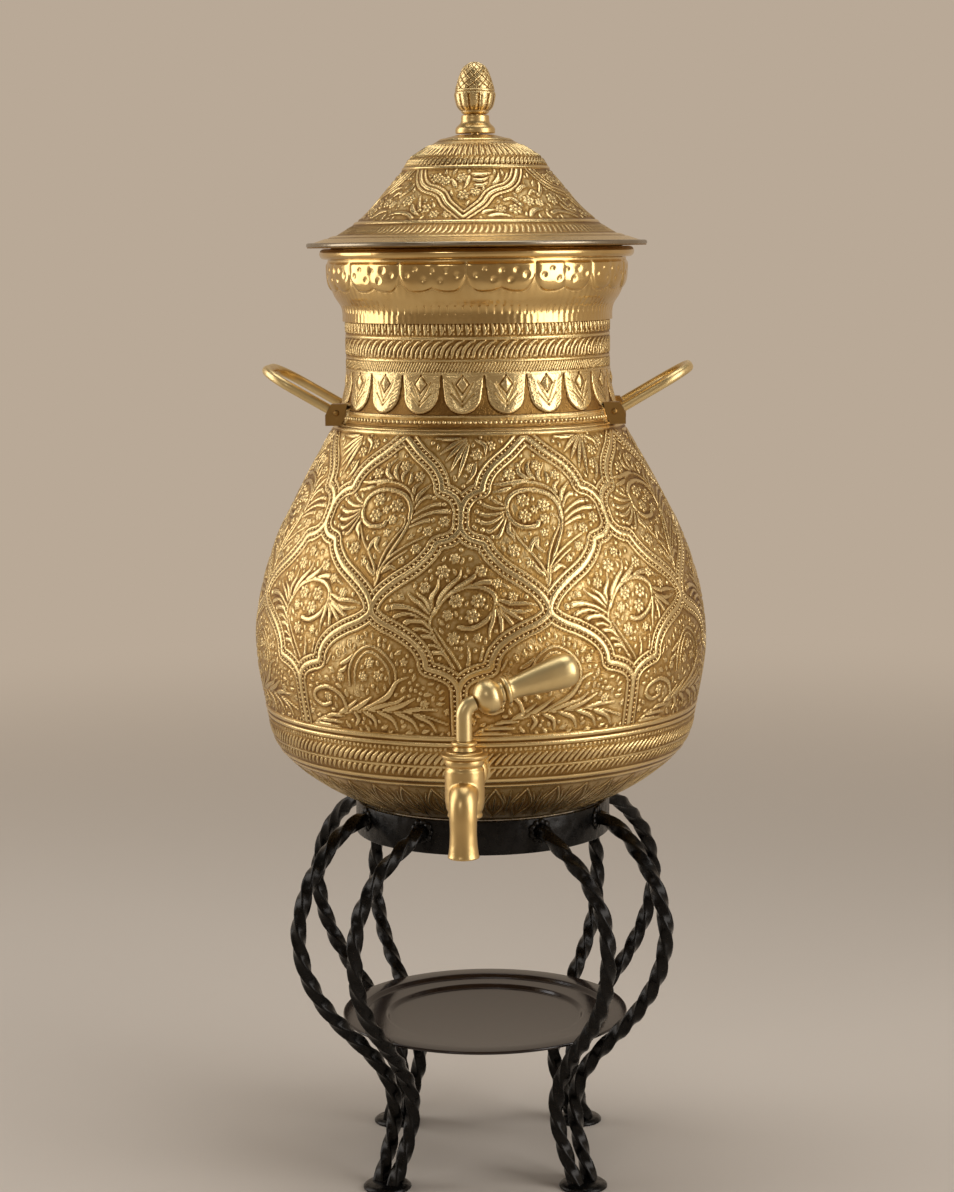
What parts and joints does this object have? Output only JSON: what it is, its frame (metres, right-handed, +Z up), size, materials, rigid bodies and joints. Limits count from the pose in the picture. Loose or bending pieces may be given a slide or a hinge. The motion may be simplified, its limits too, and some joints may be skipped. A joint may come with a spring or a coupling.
{
  "type": "beverage dispenser",
  "caption": "Pear-shaped chased brass drinks urn with a lift-off domed lid, side handles and a turning plug tap, standing in a twisted wrought-iron stand with a round tray.",
  "frame": {"origin": "on the floor, under the middle of the whole dispenser's box; the urn's own axis is 29.2 mm behind it because the tap reaches forward", "axes": "+Z up, -Y the way the tap points (the front), +X to the right as seen from the front"},
  "size_m": [0.3028, 0.3612, 0.7424],
  "materials": {
    "chased_brass": "spun sheet brass, chased all over in relief, bright on the crests and browned in the recesses",
    "cast_brass": "cast brass, polished smooth",
    "black_iron": "hammered wrought iron, satin black",
    "tray_enamel": "steel sheet, glossy very dark brown enamel",
    "rubber": "matt black rubber gasket"
  },
  "bodies": {
    "stand": {"stand_ring": "black_iron", "leg_rod_front_left_a": "black_iron", "leg_rod_front_left_b": "black_iron", "leg_rod_front_right_a": "black_iron", "leg_rod_front_right_b": "black_iron", "leg_rod_back_left_a": "black_iron", "leg_rod_back_left_b": "black_iron", "leg_rod_back_right_a": "black_iron", "leg_rod_back_right_b": "black_iron", "foot_pad_front_left": "black_iron", "foot_pad_front_right": "black_iron", "foot_pad_back_left": "black_iron", "foot_pad_back_right": "black_iron", "lower_tray": "tray_enamel"},
    "urn": {"urn_bowl": "chased_brass", "urn_neck": "chased_brass", "urn_collar": "chased_brass", "mouth_bead": "chased_brass", "handle_loop_left": "cast_brass", "handle_loop_right": "cast_brass", "handle_lug_left_front": "cast_brass", "handle_lug_left_back": "cast_brass", "handle_lug_right_front": "cast_brass", "handle_lug_right_back": "cast_brass", "tap_body": "cast_brass", "tap_saddle": "cast_brass", "tap_inner_gasket": "rubber", "tap_back_washer": "cast_brass", "tap_backnut": "cast_brass"},
    "tap_key": {"tap_plug": "cast_brass", "plug_washer": "cast_brass", "plug_nut": "cast_brass", "tap_cap_disc": "cast_brass", "stem_ring": "cast_brass", "lever_stem": "cast_brass", "lever_ball": "cast_brass", "lever_grip": "cast_brass"},
    "lid": {"lid_dome": "chased_brass", "lid_locating_ring": "chased_brass", "knob_base": "cast_brass", "knob_finial": "cast_brass", "knob_stud": "cast_brass", "knob_washer": "cast_brass", "knob_nut": "cast_brass"}
  },
  "joints": [
    {"name": "urn_lift", "type": "slide", "parent": "stand", "child": "urn", "axis": [0, 0, 1], "range_m": [0, 0.12]},
    {"name": "lid_lift", "type": "slide", "parent": "urn", "child": "lid", "axis": [0, 0, 1], "range_m": [0, 0.15]},
    {"name": "tap_turn", "type": "hinge", "parent": "urn", "child": "tap_key", "pos_m": [0, -0.1538, 0.299], "axis": [0, 0, -1], "range_deg": [0, 90]}
  ]
}
